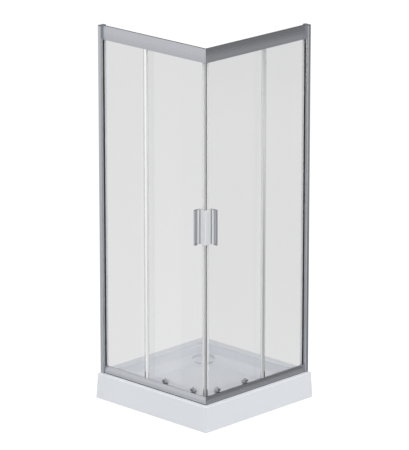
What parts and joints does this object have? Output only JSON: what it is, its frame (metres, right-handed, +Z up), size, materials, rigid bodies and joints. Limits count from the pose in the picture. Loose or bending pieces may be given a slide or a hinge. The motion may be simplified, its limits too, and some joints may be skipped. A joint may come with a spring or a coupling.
{
  "type": "shower enclosure",
  "caption": "Square corner-entry shower enclosure with sliding glass doors in a satin aluminium frame on a raised white tray, with waste trap and levelling feet.",
  "frame": {"origin": "on the floor in the middle of the square footprint", "axes": "+Z up; the walls stand at -X and +Y, and the doors meet at the +X -Y corner"},
  "size_m": [0.8, 0.8, 1.995],
  "materials": {
    "white_acrylic": "gloss",
    "satin_aluminium": "satin anodised",
    "safety_glass": "clear, grey tint",
    "white_vinyl": "soft satin",
    "clear_vinyl": "translucent",
    "black_rubber": "matt",
    "dark_plastic": "satin",
    "grey_plastic": "satin",
    "white_plastic": "gloss",
    "wheel_plastic": "satin",
    "stainless_steel": "plain",
    "zinc_steel": "zinc plated",
    "chrome_caps": "polished"
  },
  "bodies": {
    "frame": {"shower_tray": "white_acrylic", "tray_support_frame": "zinc_steel", "tray_feet": "grey_plastic", "foot_lock_nuts": "zinc_steel", "drain_flange": "white_plastic", "drain_gasket": "black_rubber", "drain_trap": "white_plastic", "header_corner_joint": "zinc_steel", "sill_corner_joint": "zinc_steel", "front_wall_channel": "satin_aluminium", "front_wall_post": "satin_aluminium", "front_post_screws": "stainless_steel", "front_post_cap": "dark_plastic", "front_header_rail": "satin_aluminium", "front_sill_rail": "satin_aluminium", "front_fixed_glass": "safety_glass", "front_post_gasket": "black_rubber", "front_overlap_seal": "white_vinyl", "front_door_stops": "black_rubber", "side_wall_channel": "satin_aluminium", "side_wall_post": "satin_aluminium", "side_post_screws": "stainless_steel", "side_post_cap": "dark_plastic", "side_header_rail": "satin_aluminium", "side_sill_rail": "satin_aluminium", "side_fixed_glass": "safety_glass", "side_post_gasket": "black_rubber", "side_overlap_seal": "white_vinyl", "side_door_stops": "black_rubber"},
    "drain_cover": {"drain_cover": "white_plastic"},
    "front_door": {"front_door_glass": "safety_glass", "front_trailing_seal": "clear_vinyl", "front_magnetic_seal": "clear_vinyl", "front_handle": "satin_aluminium", "front_handle_bolts": "chrome_caps", "front_hangers": "grey_plastic", "front_guides": "dark_plastic", "front_guide_spring_lead": "stainless_steel", "front_guide_spring_trail": "stainless_steel"},
    "front_top_wheel_lead": {"front_top_wheel_lead": "wheel_plastic"},
    "front_guide_slider_lead": {"front_guide_slider_lead": "dark_plastic"},
    "front_guide_wheel_lead": {"front_guide_wheel_lead": "wheel_plastic"},
    "front_top_wheel_trail": {"front_top_wheel_trail": "wheel_plastic"},
    "front_guide_slider_trail": {"front_guide_slider_trail": "dark_plastic"},
    "front_guide_wheel_trail": {"front_guide_wheel_trail": "wheel_plastic"},
    "side_door": {"side_door_glass": "safety_glass", "side_trailing_seal": "clear_vinyl", "side_magnetic_seal": "clear_vinyl", "side_handle": "satin_aluminium", "side_handle_bolts": "chrome_caps", "side_hangers": "grey_plastic", "side_guides": "dark_plastic", "side_guide_spring_lead": "stainless_steel", "side_guide_spring_trail": "stainless_steel"},
    "side_top_wheel_lead": {"side_top_wheel_lead": "wheel_plastic"},
    "side_guide_slider_lead": {"side_guide_slider_lead": "dark_plastic"},
    "side_guide_wheel_lead": {"side_guide_wheel_lead": "wheel_plastic"},
    "side_top_wheel_trail": {"side_top_wheel_trail": "wheel_plastic"},
    "side_guide_slider_trail": {"side_guide_slider_trail": "dark_plastic"},
    "side_guide_wheel_trail": {"side_guide_wheel_trail": "wheel_plastic"}
  },
  "joints": [
    {"name": "drain_cover_lift", "type": "slide", "parent": "frame", "child": "drain_cover", "axis": [0, 0, 1], "range_m": [0, 0.06]},
    {"name": "front_door_slide", "type": "slide", "parent": "frame", "child": "front_door", "axis": [-1, 0, 0], "range_m": [0, 0.255]},
    {"name": "front_top_wheel_lead_spin", "type": "hinge", "parent": "front_door", "child": "front_top_wheel_lead", "pos_m": [0.239, -0.333, 1.95955], "axis": [0, 1, 0], "range_deg": [-1624.4, 0]},
    {"name": "front_guide_slider_lead_press", "type": "slide", "parent": "front_door", "child": "front_guide_slider_lead", "axis": [0, 0, -1], "range_m": [0, 0.005], "stiffness_N_per_m": 800, "springref_m": -0.004, "deforming": ["front_guide_spring_lead"]},
    {"name": "front_guide_wheel_lead_spin", "type": "hinge", "parent": "front_guide_slider_lead", "child": "front_guide_wheel_lead", "pos_m": [0.239, -0.333, 0.15245], "axis": [0, 1, 0], "range_deg": [0, 1949.1]},
    {"name": "front_top_wheel_trail_spin", "type": "hinge", "parent": "front_door", "child": "front_top_wheel_trail", "pos_m": [0.036, -0.333, 1.95955], "axis": [0, 1, 0], "range_deg": [-1624.4, 0]},
    {"name": "front_guide_slider_trail_press", "type": "slide", "parent": "front_door", "child": "front_guide_slider_trail", "axis": [0, 0, -1], "range_m": [0, 0.005], "stiffness_N_per_m": 800, "springref_m": -0.004, "deforming": ["front_guide_spring_trail"]},
    {"name": "front_guide_wheel_trail_spin", "type": "hinge", "parent": "front_guide_slider_trail", "child": "front_guide_wheel_trail", "pos_m": [0.036, -0.333, 0.15245], "axis": [0, 1, 0], "range_deg": [0, 1949.1]},
    {"name": "side_door_slide", "type": "slide", "parent": "frame", "child": "side_door", "axis": [0, 1, 0], "range_m": [0, 0.255]},
    {"name": "side_top_wheel_lead_spin", "type": "hinge", "parent": "side_door", "child": "side_top_wheel_lead", "pos_m": [0.333, -0.239, 1.95955], "axis": [1, 0, 0], "range_deg": [-1624.4, 0]},
    {"name": "side_guide_slider_lead_press", "type": "slide", "parent": "side_door", "child": "side_guide_slider_lead", "axis": [0, 0, -1], "range_m": [0, 0.005], "stiffness_N_per_m": 800, "springref_m": -0.004, "deforming": ["side_guide_spring_lead"]},
    {"name": "side_guide_wheel_lead_spin", "type": "hinge", "parent": "side_guide_slider_lead", "child": "side_guide_wheel_lead", "pos_m": [0.333, -0.239, 0.15245], "axis": [1, 0, 0], "range_deg": [0, 1949.1]},
    {"name": "side_top_wheel_trail_spin", "type": "hinge", "parent": "side_door", "child": "side_top_wheel_trail", "pos_m": [0.333, -0.036, 1.95955], "axis": [1, 0, 0], "range_deg": [-1624.4, 0]},
    {"name": "side_guide_slider_trail_press", "type": "slide", "parent": "side_door", "child": "side_guide_slider_trail", "axis": [0, 0, -1], "range_m": [0, 0.005], "stiffness_N_per_m": 800, "springref_m": -0.004, "deforming": ["side_guide_spring_trail"]},
    {"name": "side_guide_wheel_trail_spin", "type": "hinge", "parent": "side_guide_slider_trail", "child": "side_guide_wheel_trail", "pos_m": [0.333, -0.036, 0.15245], "axis": [1, 0, 0], "range_deg": [0, 1949.1]}
  ],
  "couplings": [
    {"joint": "front_top_wheel_lead_spin", "follows": "front_door_slide", "rad_per_m": -111.11},
    {"joint": "front_guide_wheel_lead_spin", "follows": "front_door_slide", "rad_per_m": 133.33},
    {"joint": "front_top_wheel_trail_spin", "follows": "front_door_slide", "rad_per_m": -111.11},
    {"joint": "front_guide_wheel_trail_spin", "follows": "front_door_slide", "rad_per_m": 133.33},
    {"joint": "side_top_wheel_lead_spin", "follows": "side_door_slide", "rad_per_m": -111.11},
    {"joint": "side_guide_wheel_lead_spin", "follows": "side_door_slide", "rad_per_m": 133.33},
    {"joint": "side_top_wheel_trail_spin", "follows": "side_door_slide", "rad_per_m": -111.11},
    {"joint": "side_guide_wheel_trail_spin", "follows": "side_door_slide", "rad_per_m": 133.33}
  ]
}
